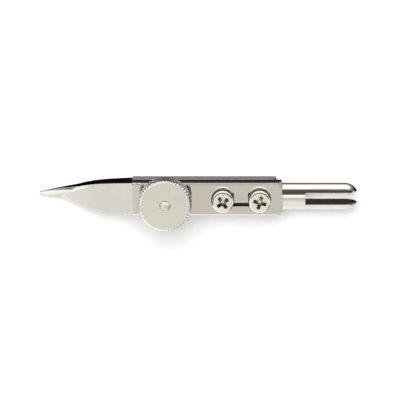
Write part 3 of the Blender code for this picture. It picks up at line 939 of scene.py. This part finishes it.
def make_lock_washer(side):
    low, high = mm_box(f"{side}_lock_washer")
    x = SCREW_X[side]
    inner, outer = 2.1, 3.45
    gap = 0.5 / outer
    rise = 0.12
    start = math.radians(42) + gap / 2
    end = start + TURN - gap
    steps = 120
    section = rounded(
        [
            (inner, low.z, 0.12),
            (outer, low.z, 0.12),
            (outer, high.z - rise, 0.45),
            (inner, high.z - rise, 0.12),
        ],
        8,
    )
    rings = []
    for i in range(steps + 1):
        angle = start + (end - start) * i / steps
        lift = rise * i / steps
        rings.append(
            [(x + r * math.cos(angle), r * math.sin(angle), z + lift) for r, z in section]
        )
    piece(
        f"spring_washer_{side}",
        loft(rings),
        spring_steel,
        "handle",
        f"{side}_lock_washer",
    )


for side in SCREW_X:
    make_screw(side)
    make_lock_washer(side)

# ---- hidden CAD pieces that stay as they are ------------------------------
for node, mat in (
    ("dowel_pin_spike_end", stud_steel),
    ("dowel_pin_fork_end", stud_steel),
    ("tang_leaf_spring", bronze),
):
    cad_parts[node].data.materials.clear()
    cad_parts[node].data.materials.append(mat)

# ---- floor, light and camera ----------------------------------------------
FLOOR_SIDE = 3.0
FLOOR_DROP = 0.02
FLOOR_GLOW = 0.25


def make_floor():
    bm = bmesh.new()
    bmesh.ops.create_grid(bm, x_segments=1, y_segments=1, size=FLOOR_SIDE / 2)
    mesh = bpy.data.meshes.new("floor")
    bm.to_mesh(mesh)
    bm.free()
    floor = bpy.data.objects.new("floor", mesh)
    floor.location.z = -FLOOR_DROP * MM
    bpy.context.scene.collection.objects.link(floor)
    mat = bpy.data.materials.new("pale floor")
    mat.use_nodes = True
    shader = mat.node_tree.nodes["Principled BSDF"]
    shader.inputs["Base Color"].default_value = (0.9, 0.9, 0.9, 1)
    shader.inputs["Roughness"].default_value = 0.9
    shader.inputs["Specular IOR Level"].default_value = 0
    shader.inputs["Emission Color"].default_value = (1, 1, 1, 1)
    shader.inputs["Emission Strength"].default_value = FLOOR_GLOW
    mesh.materials.append(mat)
    floor.visible_glossy = False


# What polished metal mirrors at each angle in the YZ plane, from straight up towards
# +Y in degrees, as the tone that nickel shows there. A last number is extra light.
MIRRORED = [
    (-180, (6, 5, 5), 1),
    (-172, (60, 54, 48), 1),
    (-166, (215, 210, 202), 1),
    (-140, (226, 222, 216), 1),
    (-118, (238, 236, 232), 1),
    (-95, (236, 233, 228), 1),
    (-84, (228, 224, 216), 1),
    (-60, (230, 226, 217), 1),
    (-36, (226, 222, 213), 1),
    (-28, (212, 207, 197), 1),
    (-14.5, (196, 190, 178), 1),
    (-3, (204, 199, 188), 1),
    (1, (226, 222, 214), 1),
    (5, (246, 244, 240), 1),
    (20, (250, 249, 246), 1),
    (25, (180, 172, 162), 1),
    (29, (95, 83, 72), 1),
    (45, (80, 68, 58), 1),
    (62, (84, 72, 62), 1),
    (68, (110, 100, 90), 1),
    (75, (168, 163, 156), 1),
    (81, (240, 238, 235), 1),
    (86, (255, 255, 255), 1.2),
    (118, (255, 255, 255), 1.2),
    (127, (228, 225, 220), 1),
    (135, (187, 182, 175), 1),
    (145, (150, 144, 136), 1),
    (153, (105, 98, 90), 1),
    (159, (64, 58, 53), 1),
    (165.8, (52, 46, 41), 1),
    (167.2, (9, 8, 7), 1),
    (180, (6, 5, 5), 1),
]


def math_node(tree, operation, *values):
    node = tree.nodes.new("ShaderNodeMath")
    node.operation = operation
    for i, value in enumerate(values):
        if isinstance(value, (int, float)):
            node.inputs[i].default_value = value
        else:
            tree.links.new(value, node.inputs[i])
    return node.outputs["Value"]


def ramp(tree, value, stops):
    node = tree.nodes.new("ShaderNodeValToRGB")
    elements = node.color_ramp.elements
    while len(elements) < len(stops):
        elements.new(0.5)
    for element, (position, colour) in zip(elements, stops):
        element.position = position
        element.color = (*colour, 1)
    tree.links.new(value, node.inputs["Fac"])
    return node.outputs["Color"]


# How that changes towards the tool's two ends: (x of the direction, share kept) and
# (x, share of white light mixed in)
KEPT = [
    (-1, 1),
    (0.3, 1),
    (0.45, 0.8),
    (0.55, 0.45),
    (0.65, 0.2),
    (0.78, 0.1),
    (0.88, 0.3),
    (0.93, 1),
]
LIT = [
    (-1, 0.6),
    (-0.85, 0.8),
    (-0.6, 0.5),
    (-0.47, 0.36),
    (-0.316, 0.40),
    (-0.15, 0.1),
    (0, 0),
    (0.85, 0),
    (0.93, 0.25),
    (1, 0.45),
]

# and the share of that white light at each angle, which leaves the dark band dark
LIT_AT = [(-180, 1), (14, 1), (25, 0.1), (66, 0.1), (78, 1), (180, 1)]
LIT_WHITE = (1.1, 1.12, 1.12, 1)
AMBIENT = 0.03


def mix(tree, kind, factor, first, second):
    node = tree.nodes.new("ShaderNodeMix")
    node.data_type = "RGBA"
    node.blend_type = kind
    for socket, value in (("Factor", factor), ("A", first), ("B", second)):
        if isinstance(value, (float, tuple)):
            node.inputs[socket].default_value = value
        else:
            tree.links.new(value, node.inputs[socket])
    return node.outputs["Result"]


def make_world():
    """Soft white light for the floor, and the studio that the polished metal mirrors."""
    world = bpy.data.worlds.new("studio")
    bpy.context.scene.world = world
    world.use_nodes = True
    world.cycles.sampling_method = "NONE"
    tree = world.node_tree
    tree.nodes.clear()
    axes = tree.nodes.new("ShaderNodeSeparateXYZ")
    tree.links.new(tree.nodes.new("ShaderNodeTexCoord").outputs["Generated"], axes.inputs[0])
    angle = math_node(tree, "ARCTAN2", axes.outputs["Y"], axes.outputs["Z"])
    place = math_node(tree, "MULTIPLY_ADD", angle, 1 / TURN, 0.5)
    stops = [
        (a / 360 + 0.5, [c * extra / base for c, base in zip(linear(tone), NICKEL)])
        for a, tone, extra in MIRRORED
    ]
    along = math_node(tree, "MULTIPLY_ADD", axes.outputs["X"], 0.5, 0.5)
    kept = ramp(tree, along, [(x / 2 + 0.5, (value,) * 3) for x, value in KEPT])
    lit = ramp(tree, along, [(x / 2 + 0.5, (value,) * 3) for x, value in LIT])
    dimmed = mix(tree, "MULTIPLY", 1.0, ramp(tree, place, stops), kept)
    above = math_node(tree, "GREATER_THAN", axes.outputs["Z"], 0.0)
    lit = math_node(tree, "MULTIPLY", lit, above)
    lit_at = [(a / 360 + 0.5, (share,) * 3) for a, share in LIT_AT]
    lit = math_node(tree, "MULTIPLY", lit, ramp(tree, place, lit_at))
    mirrored = tree.nodes.new("ShaderNodeBackground")
    tree.links.new(mix(tree, "MIX", lit, dimmed, LIT_WHITE), mirrored.inputs["Color"])
    plain = tree.nodes.new("ShaderNodeBackground")
    plain.inputs["Strength"].default_value = AMBIENT
    path = tree.nodes.new("ShaderNodeLightPath")
    backdrop = tree.nodes.new("ShaderNodeBackground")
    first = tree.nodes.new("ShaderNodeMixShader")
    tree.links.new(path.outputs["Is Glossy Ray"], first.inputs["Fac"])
    tree.links.new(plain.outputs[0], first.inputs[1])
    tree.links.new(mirrored.outputs[0], first.inputs[2])
    second = tree.nodes.new("ShaderNodeMixShader")
    tree.links.new(path.outputs["Is Camera Ray"], second.inputs["Fac"])
    tree.links.new(first.outputs[0], second.inputs[1])
    tree.links.new(backdrop.outputs[0], second.inputs[2])
    output = tree.nodes.new("ShaderNodeOutputWorld")
    tree.links.new(second.outputs[0], output.inputs["Surface"])
    for node in (plain, backdrop):
        node.inputs["Color"].default_value = (1, 1, 1, 1)


KEY_STRENGTH = 3.3
KEY_SPREAD = math.radians(52)
KEY_FROM = Vector((-0.1, 0.5, 1.0))


def make_key():
    light = bpy.data.lights.new("key", "SUN")
    light.energy = KEY_STRENGTH
    light.angle = KEY_SPREAD
    obj = bpy.data.objects.new("key", light)
    obj.rotation_mode = "QUATERNION"
    obj.rotation_quaternion = KEY_FROM.to_track_quat("Z", "Y")
    obj.visible_glossy = False
    bpy.context.scene.collection.objects.link(obj)


CAMERA_TILT = math.radians(14.51)
CAMERA_DISTANCE = 1.2
CAMERA_FOCAL = 3990.0  # in pixels of the frame
CAMERA_RIGHT = 0.636  # where it looks, in mm to the right of the origin
CAMERA_DOWN = 2.262  # and below it, in the picture
FRAME = 400
SENSOR = 36


def make_camera():
    data = bpy.data.cameras.new("camera")
    data.sensor_width = SENSOR
    data.lens = CAMERA_FOCAL * SENSOR / FRAME
    camera = bpy.data.objects.new("camera", data)
    bpy.context.scene.collection.objects.link(camera)
    right = Vector((1, 0, 0))
    up = Vector((0, math.cos(CAMERA_TILT), -math.sin(CAMERA_TILT)))
    back = Vector((0, math.sin(CAMERA_TILT), math.cos(CAMERA_TILT)))
    axes = Matrix((right, up, back)).transposed().to_4x4()
    place = back * CAMERA_DISTANCE + right * CAMERA_RIGHT * MM - up * CAMERA_DOWN * MM
    camera.matrix_world = Matrix.Translation(place) @ axes
    bpy.context.scene.camera = camera


bpy.context.scene.view_settings.view_transform = "Standard"
make_floor()
make_world()
make_key()
make_camera()

bpy.context.view_layer.update()
